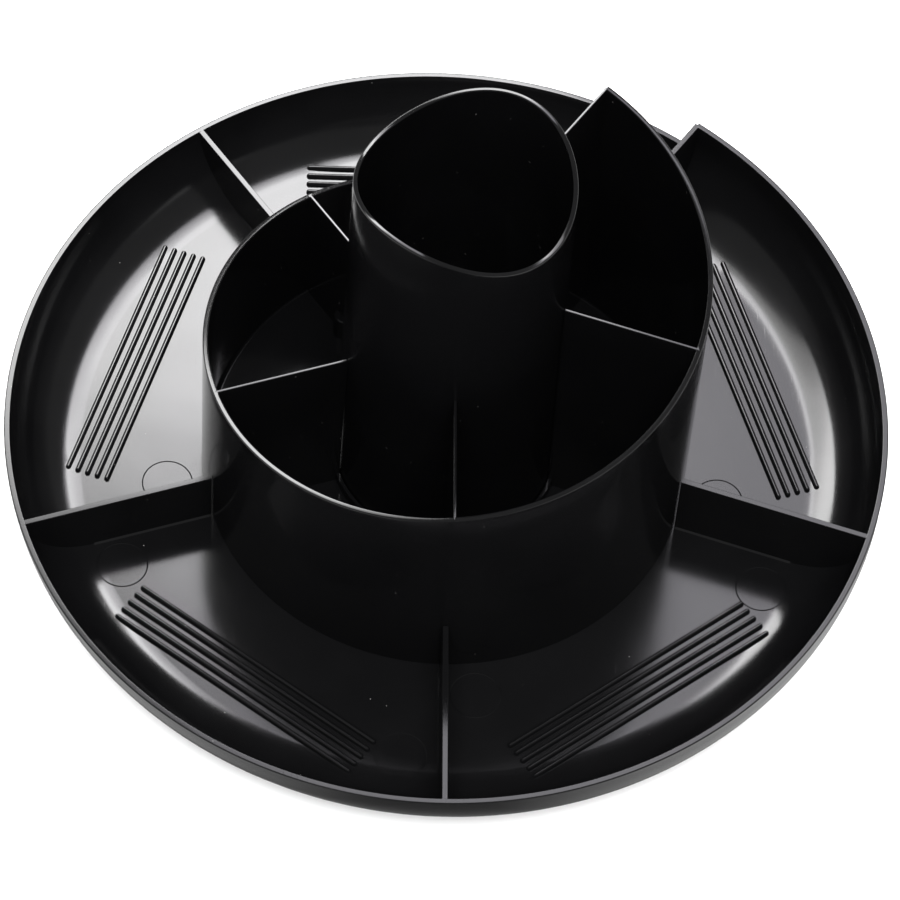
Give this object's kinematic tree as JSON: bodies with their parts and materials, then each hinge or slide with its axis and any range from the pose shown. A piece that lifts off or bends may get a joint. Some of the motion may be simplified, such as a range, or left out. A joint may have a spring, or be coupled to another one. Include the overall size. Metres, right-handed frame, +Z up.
{
  "type": "rotary desk organizer",
  "caption": "Rotary desk organizer: a round tray with a spiral rim, a spiral-walled ring of bins and a tall central pencil cup, turning on a ball-bearing base.",
  "frame": {"origin": "on the turning axis, at the level of the desk that the feet stand on", "axes": "+Z up along the turning axis; the camera side is -Y, and the spiral walls step down at 54 degrees from +X, counted anticlockwise from above"},
  "size_m": [0.2998, 0.2993, 0.1816],
  "materials": {
    "tray_satin_plastic": "black, satin moulded polystyrene",
    "caddy_gloss_plastic": "black, polished moulded polystyrene",
    "base_matt_plastic": "black, matt moulded polystyrene",
    "foot_rubber": "dark grey rubber",
    "cage_nylon": "natural nylon",
    "ball_steel": "polished bearing steel",
    "fastener_steel": "zinc-plated steel"
  },
  "bodies": {
    "base": {"base_plate": "base_matt_plastic", "foot_1": "foot_rubber", "foot_2": "foot_rubber", "foot_3": "foot_rubber", "foot_4": "foot_rubber", "foot_5": "foot_rubber", "foot_6": "foot_rubber"},
    "race": {"ball_cage": "cage_nylon", "ball_01": "ball_steel", "ball_02": "ball_steel", "ball_03": "ball_steel", "ball_04": "ball_steel", "ball_05": "ball_steel", "ball_06": "ball_steel", "ball_07": "ball_steel", "ball_08": "ball_steel", "ball_09": "ball_steel", "ball_10": "ball_steel", "ball_11": "ball_steel", "ball_12": "ball_steel"},
    "carousel": {"tray": "tray_satin_plastic", "caddy": "caddy_gloss_plastic", "pencil_cup": "caddy_gloss_plastic", "caddy_screw_1": "fastener_steel", "caddy_screw_2": "fastener_steel", "caddy_screw_3": "fastener_steel", "caddy_screw_4": "fastener_steel", "caddy_screw_5": "fastener_steel", "pivot_screw": "fastener_steel", "pivot_washer": "fastener_steel"}
  },
  "joints": [
    {"name": "carousel_spin", "type": "hinge", "parent": "base", "child": "carousel", "pos_m": [0, 0, 0.0142], "axis": [0, 0, 1], "continuous": true},
    {"name": "race_spin", "type": "hinge", "parent": "base", "child": "race", "pos_m": [0, 0, 0.0085], "axis": [0, 0, 1], "continuous": true}
  ],
  "couplings": [
    {"joint": "race_spin", "follows": "carousel_spin", "ratio": 0.5}
  ]
}
